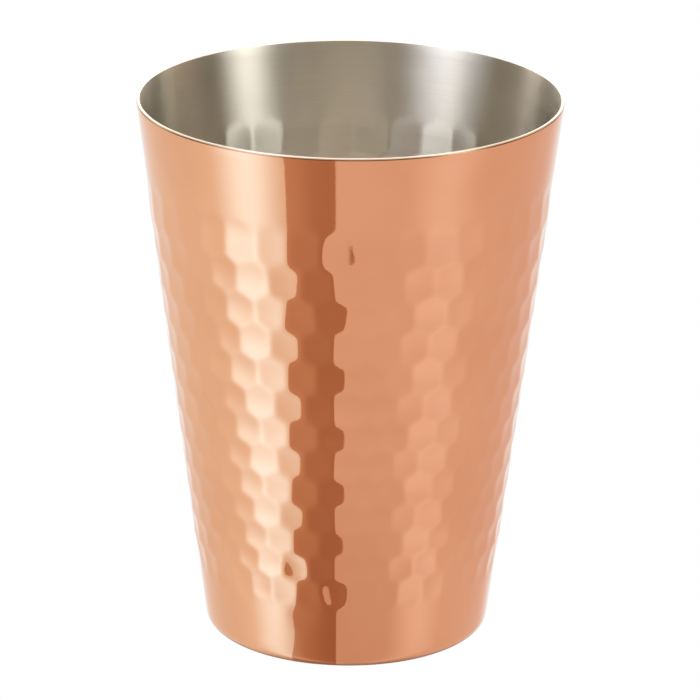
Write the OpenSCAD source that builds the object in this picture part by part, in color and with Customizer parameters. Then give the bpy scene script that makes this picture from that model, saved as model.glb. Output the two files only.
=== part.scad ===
// Hammered copper tumbler with a tin lining.
// Millimetres, +Z up, the foot stands on z = 0 and the cup's axis is Z.

/* [Cup] */
// diameter across the rim
rim_d = 80; // [70:1:90]
// overall height
cup_h = 104.2; // [100:0.2:125]
// diameter the sloping wall would have at the table
base_d = 53.6; // [50:0.2:60]
// outside radius where the wall turns into the base
corner_r = 2.5; // [1.5:0.1:3.5]

/* [Sheet] */
// thickness of the copper
copper_t = 0.48; // [0.4:0.02:0.8]
// thickness of the tin
tin_t = 0.12; // [0.1:0.02:0.2]

/* [Base] */
// diameter of the flat pushed up under the base
recess_d = 34; // [24:1:36]
// how far it is pushed up
recess_h = 0.8; // [0.4:0.1:1.2]

/* [Hammering] */
// dimples in each ring
dimples_around = 37; // [30:1:40]
// rings of dimples
dimple_rings = 13; // [8:1:13]
// depth from the ridges to the floor of a dimple
dimple_depth = 0.25; // [0.1:0.05:0.35]
// width of a dimple's floor, as a share of the dimple's own width
floor_share = 0.6; // [0.4:0.05:0.8]
// plain band from the rim to the middle of the ridge above the first ring
top_band = 15.4; // [14:0.2:17]
// height of the first ring
first_ring_h = 6.6; // [6:0.1:6.7]
// how much lower each ring is than the one above it
ring_step = 0.134; // [0.13:0.002:0.16]

/* [Hidden] */
COPPER = [0.83, 0.49, 0.34];
TIN = [0.74, 0.73, 0.69];

sides = 2 * dimples_around;     // points round the cup: a dimple's middle and its edge take turns
turn = 360 / sides;
front = -90;                    // a point of every ring faces -Y
run = (rim_d - base_d) / 2 / cup_h;
lean = atan(run);
wall_t = copper_t + tin_t;
lip_r = wall_t / 2;             // the rim is rolled over as a half circle
corner_steps = 5;
recess_steps = 4;
lip_steps = 6;
recess_slope_w = 3;             // width of the slope round the recess
point_share = 0.12;             // how far a dimple's point reaches past the middle of its ridge
sink = tin_t / 2;               // how much deeper the joint of the two metals lies behind the hammering
joint_margin = 1.5;             // height over which it gets there

// Radius of the surface that lies d inside the outer face, at height z on the wall.
function wall_r(z, d) = base_d / 2 + run * z - d / cos(lean);

// Rings are counted down from the rim. Ridge k lies below ring k, and ridge 0 above the first ring.
function ridge_z(k) = cup_h - top_band - k * first_ring_h + ring_step * k * (k - 1) / 2;
function ring_z(k) = (ridge_z(k - 1) + ridge_z(k)) / 2;
function ring_h(k) = first_ring_h - ring_step * (k - 1);

// A ring of points is held as its [r, z] at even points and at odd points.
function level(p) = [p, p];
function reach(k) = point_share * ring_h(max(k, 1));
function zigzag(k, d) =
    let (low = ridge_z(k) - reach(k), high = ridge_z(k) + reach(k))
    k % 2 == 0 ? [[wall_r(low, d), low], [wall_r(high, d), high]]
               : [[wall_r(high, d), high], [wall_r(low, d), low]];

// The lip's half circle, by angle above the horizontal, in the plane of the section.
function lip_point(a) =
    let (z = cup_h - lip_r) [wall_r(z, lip_r) + lip_r * cos(a), z + lip_r * sin(a)];
// The line across the sheet where the half circle starts, d in from the outer face.
function edge_point(d) = lip_point(-lean) + d * [-cos(lean), sin(lean)];

function recess_rings(d) = [
    for (i = [0 : recess_steps])
        let (t = i / recess_steps)
        level([recess_d / 2 + recess_slope_w * t, d + recess_h * (1 + cos(180 * t)) / 2])
];

function corner_rings(d) = [
    for (i = [0 : corner_steps])
        let (a = -90 + (90 - lean) * i / corner_steps, r = corner_r - d)
        level([wall_r(corner_r, corner_r) + r * cos(a), corner_r + r * sin(a)])
];

// The rings of a hammered wall, and of the joint hidden behind it.
function hammered_rings(d) = [for (k = [dimple_rings : -1 : 0]) zigzag(k, d)];
function joint_rings(d) = [
    for (p = [[ridge_z(dimple_rings) - joint_margin, 0], [ridge_z(dimple_rings), sink],
              [ridge_z(0), sink], [ridge_z(0) + joint_margin, 0]])
        level([wall_r(p[0], d + p[1]), p[0]])
];

// Every ring of the surface d inside the outer face, from the base up to the edge of the sheet.
function skin(d, hammered) = concat(
    recess_rings(d),
    corner_rings(d),
    hammered ? hammered_rings(d) : joint_rings(d),
    [level(edge_point(d))]
);

function backwards(list) = [for (i = [len(list) - 1 : -1 : 0]) list[i]];
function at(p, j) = [p[0] * cos(front + j * turn), p[0] * sin(front + j * turn), p[1]];

first_zigzag = recess_steps + corner_steps + 2;   // rings of points below the hammering

// The corners of a dimple of ring k, as [points round from its middle, height].
function corners(k) =
    let (low = ridge_z(k), high = ridge_z(k - 1), down = reach(k), up = reach(k - 1))
    [[-1, low + down], [-1, high - up], [0, high + up], [1, high - up], [1, low + down], [0, low - down]];

// The columns that the dimples of ring k are centred on: the rings take the odd and the even ones in turn.
function columns(k) = [for (j = [k % 2 : 2 : sides - 1]) j];

// The points that one ring of dimples adds: six round each floor, or one in the middle of a plain pyramid.
function floor_points(k, d) = [
    for (j = columns(k), c = corners(k))
        let (z = ring_z(k) + floor_share * (c[1] - ring_z(k)))
        at([wall_r(z, d) - dimple_depth, z], j + floor_share * c[0])
];
function middles(k, d) = [
    for (j = columns(k)) at([wall_r(ring_z(k), d) - dimple_depth, ring_z(k)], j)
];

// The edge of the dimple at column j between ring g and the next, as the numbers of its points.
function rim(g, j) =
    let (a = g * sides, b = a + sides, left = (j + sides - 1) % sides, right = (j + 1) % sides)
    [a + left, b + left, b + j, b + right, a + right, a + j];

// A dimple with a flat floor whose points start at number n, and one that runs to a single middle point m.
function dished(g, j, n) =
    let (edge = rim(g, j))
    concat(
        [for (i = [0 : 5])
            let (next = (i + 1) % 6)
            each [[edge[i], edge[next], n + next], [edge[i], n + next, n + i]]],
        [for (i = [1 : 4]) [n, n + i, n + i + 1]]
    );
function pointed(g, j, m) =
    let (edge = rim(g, j)) [for (i = [0 : 5]) [edge[i], edge[(i + 1) % 6], m]];

// Two triangles for each side between one ring of points and the next.
function strip(g) = [
    for (j = [0 : sides - 1])
        let (a = g * sides + j, b = g * sides + (j + 1) % sides)
        each [[a, a + sides, b + sides], [a, b + sides, b]]
];

// A closed layer of the cup between two skins, with any rings of its lip between them. One skin is hammered:
// the outer one with dished dimples, or the inner one with pointed ones. The other is the hidden joint.
module layer(outer, lip, inner, outside) {
    lower = skin(outer, outside);
    upper = backwards(skin(inner, !outside));
    rings = concat(lower, lip, upper);
    last = len(rings) - 1;
    count = (last + 1) * sides;
    added = outside ? 6 : 1;
    rows = [for (k = [dimple_rings : -1 : 1]) each outside ? floor_points(k, outer) : middles(k, inner)];
    pole = count + len(rows);
    points = concat(
        [for (ring = rings, j = [0 : sides - 1]) at(ring[j % 2], j)],
        rows,
        [[0, 0, outer + recess_h], [0, 0, inner + recess_h]]
    );
    gaps = [for (i = [0 : dimple_rings - 1]) outside ? first_zigzag + i : last - first_zigzag - i - 1];
    faces = concat(
        [for (j = [0 : sides - 1]) [pole, j, (j + 1) % sides]],
        [for (g = [0 : last - 1]) if (!in(g, gaps)) each strip(g)],
        [for (i = [0 : dimple_rings - 1], c = [0 : dimples_around - 1])
            let (j = columns(dimple_rings - i)[c], n = count + (i * dimples_around + c) * added)
            each outside ? dished(gaps[i], j, n) : pointed(gaps[i], j, n)],
        [for (j = [0 : sides - 1]) [last * sides + j, pole + 1, last * sides + (j + 1) % sides]]
    );
    polyhedron(points = points, faces = faces, convexity = 4);
}

function in(x, list) = len(search(x, list)) > 0;

// The drawn and hammered cup, open at the rim where the lining turns over it.
module copper_shell() {
    color(COPPER) layer(0, [], copper_t, true);
}

// The bright inside: it covers the floor and wall and is rolled over the copper's edge.
module tin_lining() {
    lip = [for (i = [0 : lip_steps - 1]) level(lip_point(-lean + 180 * i / lip_steps))];
    color(TIN) layer(copper_t, lip, wall_t, false);
}

copper_shell();
tin_lining();
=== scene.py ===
"""A hammered copper tumbler lined with tin, standing on a white floor in soft studio light."""
import math

import bpy
import numpy as np
from mathutils import Matrix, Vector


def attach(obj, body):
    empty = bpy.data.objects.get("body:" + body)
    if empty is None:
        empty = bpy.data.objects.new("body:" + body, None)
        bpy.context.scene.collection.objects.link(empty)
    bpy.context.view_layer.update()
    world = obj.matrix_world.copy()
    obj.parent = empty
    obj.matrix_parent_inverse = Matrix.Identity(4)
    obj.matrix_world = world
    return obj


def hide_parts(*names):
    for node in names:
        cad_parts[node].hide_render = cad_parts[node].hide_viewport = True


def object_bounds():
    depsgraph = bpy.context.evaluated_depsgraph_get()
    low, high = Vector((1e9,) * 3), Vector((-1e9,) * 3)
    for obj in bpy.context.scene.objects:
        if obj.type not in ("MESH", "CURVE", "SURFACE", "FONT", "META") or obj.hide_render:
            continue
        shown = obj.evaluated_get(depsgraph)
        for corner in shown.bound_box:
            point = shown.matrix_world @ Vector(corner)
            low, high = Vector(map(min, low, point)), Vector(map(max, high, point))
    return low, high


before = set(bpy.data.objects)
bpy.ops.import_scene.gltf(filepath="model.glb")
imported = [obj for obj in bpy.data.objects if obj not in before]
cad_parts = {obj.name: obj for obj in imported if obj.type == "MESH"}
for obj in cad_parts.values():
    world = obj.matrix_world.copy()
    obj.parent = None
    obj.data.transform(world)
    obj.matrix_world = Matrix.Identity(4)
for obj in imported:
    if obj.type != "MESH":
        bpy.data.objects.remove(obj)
CAD_BOX = [list(corner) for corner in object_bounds()]
MM = 0.001

# The cup's proportions, in millimetres, from the CAD model's own size.
HEIGHT = CAD_BOX[1][2] / MM
RIM_R = (CAD_BOX[1][1] - CAD_BOX[0][1]) / 2 / MM + 0.04   # the rolled lip stops just inside the wall's slope
FOOT_R = 0.67 * RIM_R            # where the wall's slope would meet the table
CORNER_R = 2.5
RECESS_R, RECESS_SLOPE, RECESS_H = 17.0, 3.0, 0.8
COPPER_T, TIN_T = 0.48, 0.12
WALL_T = COPPER_T + TIN_T
LIP_R, LIP_IN_R = 0.45, 0.12     # the lip's curve is wide towards the outside and tight towards the inside
RUN = (RIM_R - FOOT_R) / HEIGHT
LEAN = math.atan(RUN)
LIP_SPLIT = math.radians(40)     # the tin covers the lip from here over to the inside

# The hammering.
AROUND = 37                      # dimples in each ring
RINGS = 13
TOP_BAND = 15.4                  # from the rim to the ridge above the first ring
FIRST_H, STEP_H = 6.6, 0.134     # height of the first ring, and how much lower each next one is
PHASE = math.radians(0.4)        # how far the rings are turned from the -Y side
TOP_TURN = math.radians(2.0)     # the top ring is turned this much further
REACH = 0.68                     # a dimple's radius where it meets the plain wall, in dimple widths
HOLLOW = 1.3                     # a dimple's curvature, in units of the wall's own
HARDER = {1: 0.9, 12: 1.25, 13: 1.25}   # how hard a ring is struck next to the others
STANDOUTS = {(1, 36): 1.3, (12, 35): 1.65, (13, 36): 2.05}   # the same for single blows, by ring and place
STRAYS = ((-17.0, 10.6, 0.55, 0.95),)   # blows outside the rings: azimuth in degrees, height, reach, hollow
HOLLOW_INSIDE = 0.72             # how strongly the dimples show through as bumps inside
SOFT, SOFT_INSIDE = 0.06, 0.02   # how far the ridges between dimples are rounded, in mm of depth
DRIFT = 0.4                      # the rings close up by this much of a dimple, behind and to the left
SWELL = 0.33                     # how far the hammered wall stands out, so that its ridges meet the plain wall
MARGIN = 8.0                     # the hammering reaches no further than this past its first and last ridge

# The meshes.
COLUMNS = 12 * AROUND
RING_ROWS = 11                   # rows of points for each ring of dimples


def wall_r(z, inset=0.0):
    """Radius of the surface inset from the outer face, at height z on the wall."""
    return FOOT_R + RUN * z - inset / math.cos(LEAN)


def ridge_z(k):
    """Height of the ridge below ring k. Rings are counted down from the rim, and ridge 0 is above the first."""
    return HEIGHT - TOP_BAND - k * FIRST_H + STEP_H * k * (k - 1) / 2


def smooth(x, low, high):
    """Smoothly from 0 at low to 1 at high."""
    t = min(max((x - low) / (high - low), 0.0), 1.0)
    return t * t * (3 - 2 * t)


def swell(z):
    """How far the wall stands out at height z: not at all on the plain bands, and fully between them."""
    foot, head = ridge_z(RINGS), ridge_z(0)
    return SWELL * smooth(z, foot - 1.5, foot + 3.5) * smooth(-z, -head - 1.0, -head + 4.5)


def drift(azimuth):
    """How far a dimple has slipped round its ring, in dimples."""
    start = smooth(azimuth, math.radians(160), math.radians(205))
    end = smooth(-azimuth, math.radians(-265), math.radians(-215))
    return DRIFT * start * end


def strikes():
    """Every hammer blow as (azimuth, height, reach, shift round, hollow, wall radius), no two quite alike."""
    step = 2 * math.pi / AROUND
    rng = np.random.default_rng(11)
    rows = []
    for k in range(1, RINGS + 1):
        z = (ridge_z(k - 1) + ridge_z(k)) / 2
        width = 2 * math.pi * wall_r(z) / AROUND
        for c in range(AROUND):
            azimuth = (c + (k % 2) / 2) * step
            azimuth += PHASE + drift(azimuth) * step + (TOP_TURN if k == 1 else 0.0)
            round_, up, deep = rng.normal(0, (0.03, 0.03, 0.015))
            hollow = HOLLOW * STANDOUTS.get((k, c), HARDER.get(k, 1.0))
            rows.append((azimuth, z + up * width, REACH * (1 + deep), round_ * width, hollow, wall_r(z)))
    for turned, z, reach, hollow in STRAYS:
        rows.append((math.radians(turned), z, reach, 0.0, hollow, wall_r(z)))
    return np.array(rows)


STRIKES = strikes()


def depth(azimuth, z, soft, share):
    """How far the hammering has driven the wall in, at points given as arrays of azimuth and height."""
    total = np.ones_like(z)      # the plain wall takes part too, so that the outer dimples fade into it
    for a, zc, reach, shift, hollow, r in STRIKES:
        width = 2 * math.pi * r / AROUND
        near = np.abs(z - zc) < 1.7 * width
        if not near.any():
            continue
        turn = (azimuth[near] - a + math.pi) % (2 * math.pi) - math.pi
        x = turn * r - shift
        y = (z[near] - zc) / math.cos(LEAN)
        floor = share * hollow / (2 * r) * (x * x + y * y - (reach * width) ** 2)
        total[near] += np.exp(np.clip(-floor / soft, -60, 60))
    return soft * np.log(total)


# ---------------------------------------------------------------- profiles, as (r, z) from the axis outwards

def recess(inset, steps):
    """The base, from the axis out to the foot ring."""
    points = [(RECESS_R * t, inset + RECESS_H) for t in (0.35, 0.7, 0.9)]
    for i in range(steps + 1):
        t = i / steps
        points.append((RECESS_R + RECESS_SLOPE * t, inset + RECESS_H * (1 + math.cos(math.pi * t)) / 2))
    return points


def corner(inset, steps):
    """The turn from the base up to the wall."""
    r = CORNER_R - inset
    points = []
    for i in range(steps + 1):
        a = -math.pi / 2 + (math.pi / 2 - LEAN) * i / steps
        points.append((wall_r(CORNER_R, CORNER_R) + r * math.cos(a), CORNER_R + r * math.sin(a)))
    return points


def lip_point(a):
    """A point of the lip, by the angle of its normal above the horizontal."""
    r = LIP_R if a < math.pi / 2 else LIP_IN_R
    inset = LIP_R if a < math.pi / 2 else WALL_T - LIP_IN_R
    z = HEIGHT - r
    return (wall_r(HEIGHT - LIP_R, inset) + r * math.cos(a), z + r * math.sin(a))


def lip(start, end, steps):
    """The lip between two angles of its normal."""
    return [lip_point(start + (end - start) * i / steps) for i in range(steps + 1)]


def wall_heights(fine):
    """Heights up the wall between the corner and the lip."""
    low, high = CORNER_R + 1.2, HEIGHT - 2.0
    foot, head = ridge_z(RINGS) - 3.5, ridge_z(0) + 3.5
    if fine:
        spans = ((low, foot, 6), (foot, head, RINGS * RING_ROWS + 9), (head, high, 6))
    else:
        spans = ((low, foot, 3), (foot, foot + 8, 4), (foot + 8, head - 10, 3), (head - 10, high, 5))
    pieces = [np.linspace(start, end, steps + 1)[:-1] for start, end, steps in spans]
    return np.concatenate(pieces + [[high]])


def edge(inset):
    """On the line across the sheet where the lip starts."""
    r, z = lip_point(-LEAN)
    return (r - inset * math.cos(LEAN), z + inset * math.sin(LEAN) * 0.6)


def skin(inset, fine):
    """The whole surface inset from the outer face, from the axis to the lip."""
    wall = [(wall_r(z, inset), z) for z in wall_heights(fine)]
    return recess(inset, 5 if fine else 3) + corner(inset, 7 if fine else 3) + wall + [edge(inset)]


def rings_of(profile, hammered, soft=SOFT, share=1.0):
    """Profile points turned round the axis: an array of rings by columns by 3."""
    azimuth = np.linspace(0, 2 * math.pi, COLUMNS, endpoint=False)
    rings = []
    for r, z in profile:
        if hammered and ridge_z(RINGS) - MARGIN < z < ridge_z(0) + MARGIN:
            d = depth(azimuth, np.full(COLUMNS, z), soft, share) - swell(z) * share
        else:
            d = -swell(z) / 2
        radius = r - d * math.cos(LEAN)
        height = np.full(COLUMNS, z) + d * math.sin(LEAN)
        rings.append(np.stack([radius * np.sin(azimuth), -radius * np.cos(azimuth), height], axis=1))
    return rings


def closed_skin(name, rings):
    """One closed mesh from rings that start and end near the axis, with a pole at each end."""
    n = COLUMNS
    points = np.concatenate(rings + [np.array([[0, 0, rings[0][0, 2]], [0, 0, rings[-1][0, 2]]])]) * MM
    j = np.arange(n)
    after = (j + 1) % n
    quads = [np.stack([g * n + j, g * n + after, (g + 1) * n + after, (g + 1) * n + j], axis=1)
             for g in range(len(rings) - 1)]
    first, last = len(rings) * n, len(rings) * n + 1
    end = (len(rings) - 1) * n
    caps = [(first, int(b), int(a)) for a, b in zip(j, after)]
    caps += [(last, int(end + a), int(end + b)) for a, b in zip(j, after)]
    mesh = bpy.data.meshes.new(name)
    mesh.from_pydata(points.tolist(), [], np.concatenate(quads).tolist() + caps)
    mesh.shade_smooth()
    mesh.validate()
    obj = bpy.data.objects.new(name, mesh)
    bpy.context.scene.collection.objects.link(obj)
    return obj


def copper_cup():
    """The copper: hammered outside, plain where the lining hides it."""
    outside = rings_of(skin(0, True) + lip(-LEAN, LIP_SPLIT, 4)[1:], True)
    hidden = rings_of(list(reversed(skin(COPPER_T, False))), False)
    return closed_skin("hammered_copper_cup", outside + hidden)


def lining():
    """The tin: the dimples show through it as bumps, and it turns over the rim."""
    hidden = rings_of(skin(COPPER_T, False), False)
    profile = lip(LIP_SPLIT, math.pi - LEAN, 8) + list(reversed(skin(WALL_T, True)))[1:]
    inside = rings_of(profile, True, SOFT_INSIDE, HOLLOW_INSIDE)
    return closed_skin("tin_lining_and_lip", hidden + inside)


# ---------------------------------------------------------------- node trees

class Nodes:
    """A thin hand on a node tree, so that shading reads as arithmetic."""

    def __init__(self, tree):
        self.tree = tree
        tree.nodes.clear()

    def add(self, kind, **settings):
        node = self.tree.nodes.new(kind)
        for key, value in settings.items():
            setattr(node, key, value)
        return node

    def join(self, source, socket):
        if isinstance(source, (int, float, tuple, list)):
            socket.default_value = source
        else:
            self.tree.links.new(source, socket)

    def math(self, operation, a, b=0.0, c=0.0):
        node = self.add("ShaderNodeMath", operation=operation)
        for socket, value in zip(node.inputs, (a, b, c)):
            self.join(value, socket)
        return node.outputs[0]

    def times(self, a, b):
        return self.math("MULTIPLY", a, b)

    def ramp(self, value, low, high, out_low=0.0, out_high=1.0):
        """Smoothly from out_low at low to out_high at high."""
        node = self.add("ShaderNodeMapRange", interpolation_type="SMOOTHSTEP")
        for socket, v in zip(node.inputs, (value, low, high, out_low, out_high)):
            self.join(v, socket)
        return node.outputs[0]

    def bump_shape(self, value, low, peak, high):
        """0 outside low to high and 1 at peak."""
        return self.times(self.ramp(value, low, peak), self.ramp(value, peak, high, 1.0, 0.0))

    def mix(self, factor, a, b, blend="MIX"):
        node = self.add("ShaderNodeMix", data_type="RGBA", blend_type=blend)
        node.clamp_result = False
        self.join(factor, node.inputs[0])
        self.join(a, node.inputs[6])
        self.join(b, node.inputs[7])
        return node.outputs[2]

    def xyz(self, vector):
        node = self.add("ShaderNodeSeparateXYZ")
        self.join(vector, node.inputs[0])
        return node.outputs

    def vector(self, x, y, z):
        node = self.add("ShaderNodeCombineXYZ")
        for socket, value in zip(node.inputs, (x, y, z)):
            self.join(value, socket)
        return node.outputs[0]

    def length(self, x, y):
        return self.math("SQRT", self.math("ADD", self.times(x, x), self.times(y, y)))

    def noise(self, vector, scale, detail=3.0, roughness=0.5):
        node = self.add("ShaderNodeTexNoise")
        self.join(vector, node.inputs["Vector"])
        for name, value in (("Scale", scale), ("Detail", detail), ("Roughness", roughness)):
            node.inputs[name].default_value = value
        return node.outputs["Fac"]


def rgb(r, g, b):
    return (r, g, b, 1.0)


def around_and_up(n):
    """Coordinates for marks that follow the cup: azimuth in turns, and height in metres."""
    x, y, z = n.xyz(n.add("ShaderNodeTexCoord").outputs["Object"])
    turns = n.math("DIVIDE", n.math("ARCTAN2", y, x), 2 * math.pi)
    return turns, z


def new_material(name):
    material = bpy.data.materials.new(name)
    material.use_nodes = True
    n = Nodes(material.node_tree)
    shader = n.add("ShaderNodeBsdfPrincipled")
    n.join(shader.outputs[0], n.add("ShaderNodeOutputMaterial").inputs[0])
    return material, n, shader


def roughen(n, shader, height, strength):
    """A fine bump over the surface."""
    bump = n.add("ShaderNodeBump")
    bump.inputs["Strength"].default_value = strength
    bump.inputs["Distance"].default_value = 0.00002
    n.join(height, bump.inputs["Height"])
    n.join(bump.outputs[0], shader.inputs["Normal"])


def copper_material():
    material, n, shader = new_material("polished_copper")
    place = n.add("ShaderNodeTexCoord").outputs["Object"]
    turns, up = around_and_up(n)
    cloud = n.noise(place, 45, 3)
    shader.inputs["Metallic"].default_value = 1.0
    clean = n.mix(n.ramp(cloud, 0.35, 0.65), rgb(0.745, 0.372, 0.196), rgb(0.772, 0.396, 0.214))
    # Painted shade: a little darker low down at the front.
    x, y, _ = n.xyz(place)
    facing = n.math("DIVIDE", n.times(y, -1.0), n.length(x, y))
    painted_front_shade = n.times(n.ramp(up, 0.005, 0.06, 0.8, 0.0), n.ramp(facing, 0.8, 0.97))
    clean = n.mix(painted_front_shade, clean, n.mix(1.0, clean, rgb(0.92, 0.88, 0.85), "MULTIPLY"))
    # Painted shade: a thin dark band where the tin stops, just under the lip.
    lip_edge_shade = n.ramp(up, (HEIGHT - 0.45) * MM, (HEIGHT - 0.35) * MM)
    n.join(n.mix(lip_edge_shade, clean, rgb(0.36, 0.2, 0.12)), shader.inputs["Base Color"])
    wipe = n.noise(n.vector(n.times(turns, 6.0), n.times(up, 900.0), 0.0), 1.0, 4)
    worn = n.math("ADD", n.times(wipe, 0.6), n.times(cloud, 0.4))
    n.join(n.ramp(worn, 0.3, 0.7, 0.03, 0.065), shader.inputs["Roughness"])
    roughen(n, shader, n.noise(place, 900, 3), 0.12)
    return material


def tin_material():
    material, n, shader = new_material("brushed_tin")
    place = n.add("ShaderNodeTexCoord").outputs["Object"]
    turns, up = around_and_up(n)
    brush = n.noise(n.vector(n.times(turns, 9.0), n.times(up, 4000.0), 0.0), 1.0, 4)
    cloud = n.noise(place, 60, 3)
    shader.inputs["Metallic"].default_value = 1.0
    tone = n.mix(n.ramp(cloud, 0.3, 0.7), rgb(0.65, 0.615, 0.54), rgb(0.69, 0.655, 0.58))
    grooves = n.mix(1.0, tone, rgb(0.95, 0.95, 0.95), "MULTIPLY")
    n.join(n.mix(n.ramp(brush, 0.35, 0.65, 0.8, 0.0), tone, grooves), shader.inputs["Base Color"])
    worn = n.math("ADD", n.times(brush, 0.5), n.times(cloud, 0.5))
    n.join(n.ramp(worn, 0.3, 0.7, 0.28, 0.32), shader.inputs["Roughness"])
    # Brushed round the cup, so that light is drawn out up and down the wall.
    shader.inputs["Anisotropic"].default_value = 1.0
    x, y, _ = n.xyz(place)
    n.join(n.vector(x, y, 0.03), shader.inputs["Tangent"])
    roughen(n, shader, brush, 0.35)
    return material


# ---------------------------------------------------------------- studio

# Azimuths are in degrees, 0 towards the camera and growing to the right. Elevations are in degrees too.

def low_studio(n, azimuth, elevation):
    """Below the horizon, which is what the copper sees through the floor."""
    right = n.times(n.ramp(azimuth, -38, -8), n.ramp(azimuth, 138, 168, 1.0, 0.0))
    low = n.mix(right, rgb(0.98, 0.97, 0.97), rgb(0.91, 0.78, 0.78))
    # The left highlight, a wide glow with a bright core, and the fainter right one.
    fade = n.times(n.ramp(elevation, -38, -24, 0.70, 1.0), n.ramp(elevation, -22, -12, 1.0, 0.3))
    for span, colour in (((-112, -64, -28), rgb(0.16, 0.25, 0.36)), ((-88, -60, -34), rgb(0.32, 0.96, 1.8))):
        low = n.mix(n.times(n.bump_shape(azimuth, *span), fade), low, colour, "ADD")
    glow = n.mix(n.ramp(elevation, -36, -24), rgb(0.18, 0.24, 0.33), rgb(0.12, 0.165, 0.24))
    low = n.mix(n.bump_shape(azimuth, 30, 58, 88), low, glow, "ADD")
    return n.mix(n.ramp(n.math("ABSOLUTE", azimuth), 145, 175), low, rgb(1.0, 1.04, 1.07))


def high_studio(n, azimuth, elevation):
    """Above the horizon, which is what the lining sees."""
    front = n.mix(n.ramp(elevation, 5, 40), rgb(0.12, 0.11, 0.1), rgb(0.8, 0.7, 0.6))
    high = n.mix(n.ramp(n.math("ABSOLUTE", azimuth), 130, 165), front, rgb(2.4, 2.2, 2.0))
    for span, colour in (((84, 118, 140), rgb(0.9, 0.7, 0.5)), ((-145, -122, -104), rgb(1.6, 1.35, 1.15))):
        high = n.mix(n.bump_shape(azimuth, *span), high, colour)
    # The two lamps, which fade towards the horizon.
    for span, rise, colour in (((-92, -56, -28), (-5, 30, 0.5), rgb(3.35, 3.5, 3.95)),
                               ((40, 63, 84), (-5, 25, 0.35), rgb(3.9, 3.95, 3.85))):
        high = n.mix(n.times(n.bump_shape(azimuth, *span), n.ramp(elevation, *rise)), high, colour)
    return high


def studio_colour(n, azimuth, elevation):
    """What the cup's metal sees round it."""
    low, high = low_studio(n, azimuth, elevation), high_studio(n, azimuth, elevation)
    return n.mix(n.ramp(elevation, -6, 0), low, high)


def light_world():
    """White to the eye and to the floor, a studio to the metal."""
    world = bpy.data.worlds.new("studio")
    bpy.context.scene.world = world
    world.use_nodes = True
    world.cycles.sampling_method = "NONE"
    n = Nodes(world.node_tree)
    x, y, z = n.xyz(n.add("ShaderNodeTexCoord").outputs["Generated"])
    azimuth = n.math("DEGREES", n.math("ARCTAN2", x, n.times(y, -1.0)))
    elevation = n.math("DEGREES", n.math("ARCSINE", z))
    path = n.add("ShaderNodeLightPath")
    plain = n.mix(path.outputs["Is Diffuse Ray"], rgb(1.0, 1.0, 1.0), rgb(2.5, 2.5, 2.5))
    background = n.add("ShaderNodeBackground")
    seen = n.mix(path.outputs["Is Glossy Ray"], plain, studio_colour(n, azimuth, elevation))
    n.join(seen, background.inputs[0])
    n.join(background.outputs[0], n.add("ShaderNodeOutputWorld").inputs[0])


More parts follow.
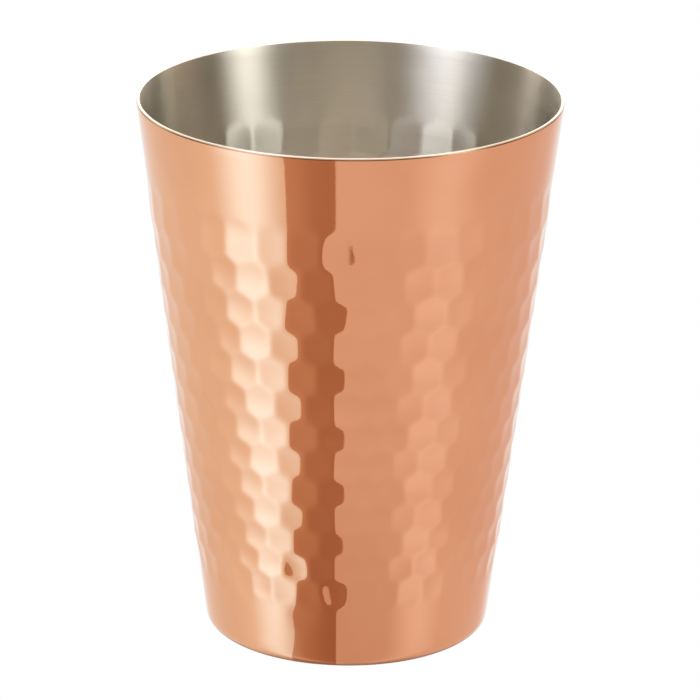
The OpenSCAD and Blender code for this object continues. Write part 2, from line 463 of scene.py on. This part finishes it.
def floor_shade(n):
    """How the floor tints what the metal sees through it, by place on the floor in metres."""
    x, y, _ = n.xyz(n.add("ShaderNodeNewGeometry").outputs["Position"])
    forward = n.times(y, -1.0)
    distance = n.length(x, y)
    # The dark wedge lies between two lines x = start - slope * forward, with slightly soft edges.
    left = n.math("ADD", x, n.math("MULTIPLY_ADD", forward, 0.702, -0.0067))
    right = n.math("ADD", x, n.math("MULTIPLY_ADD", forward, 0.1345, -0.00167))
    soft = n.times(distance, 0.005)
    wedge = n.times(n.ramp(n.math("DIVIDE", left, soft), -1, 1),
                    n.ramp(n.math("DIVIDE", right, soft), -1, 1, 1.0, 0.0))
    wedge = n.times(wedge, n.ramp(forward, 0.0, 0.001))
    across = n.ramp(n.math("DIVIDE", left, distance), 0.05, 0.36)
    dark = n.mix(across, rgb(0.70, 0.47, 0.36), rgb(0.59, 0.385, 0.28))
    shade = n.mix(wedge, rgb(1, 1, 1), dark)
    # A faint shade in front of the foot, and the dark under it.
    in_front = n.ramp(n.math("DIVIDE", forward, distance), 0.74, 0.97)
    close = n.times(n.ramp(distance, 0.028, 0.15, 1.0, 0.0), in_front)
    shade = n.mix(close, shade, rgb(0.92, 0.88, 0.85), "MULTIPLY")
    return n.mix(n.ramp(distance, 0.0255, 0.0272), rgb(0.35, 0.25, 0.2), shade)


def floor():
    """A white floor, which the metal sees through to the studio."""
    half = 4.0
    corners = [(-half, -half, 0), (half, -half, 0), (half, half, 0), (-half, half, 0)]
    mesh = bpy.data.meshes.new("floor")
    mesh.from_pydata(corners, [], [(0, 1, 2, 3)])
    obj = bpy.data.objects.new("floor", mesh)
    obj.location.z = -0.00003    # a hair below the foot, so that the two never share a plane
    bpy.context.scene.collection.objects.link(obj)
    material = bpy.data.materials.new("white_floor")
    material.use_nodes = True
    n = Nodes(material.node_tree)
    see = n.add("ShaderNodeBsdfTransparent")
    n.join(floor_shade(n), see.inputs[0])
    white = n.add("ShaderNodeEmission")
    either = n.add("ShaderNodeMixShader")
    n.join(n.add("ShaderNodeLightPath").outputs["Is Glossy Ray"], either.inputs[0])
    n.join(white.outputs[0], either.inputs[1])
    n.join(see.outputs[0], either.inputs[2])
    n.join(either.outputs[0], n.add("ShaderNodeOutputMaterial").inputs[0])
    mesh.materials.append(material)
    return obj


def camera():
    """A long lens, 19 degrees above the horizon."""
    data = bpy.data.cameras.new("camera")
    data.sensor_width = 36
    data.lens = 258.0
    data.clip_start, data.clip_end = 0.05, 50
    obj = bpy.data.objects.new("camera", data)
    bpy.context.scene.collection.objects.link(obj)
    yaw, pitch, roll = (math.radians(a) for a in (-0.0184, 90 - 19.02, 0.469))
    turn = Matrix.Rotation(yaw, 4, "Z") @ Matrix.Rotation(pitch, 4, "X") @ Matrix.Rotation(roll, 4, "Z")
    obj.matrix_world = Matrix.Translation((0, -0.9, 0.36455)) @ turn
    bpy.context.scene.camera = obj


for piece, node, slot, material in (
        (copper_cup(), "copper_shell", "copper", copper_material()),
        (lining(), "tin_lining", "tin", tin_material())):
    piece.data.materials.append(material)
    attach(piece, "root")
    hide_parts(node)

light_world()
floor()
camera()
bpy.context.scene.view_settings.view_transform = "Standard"
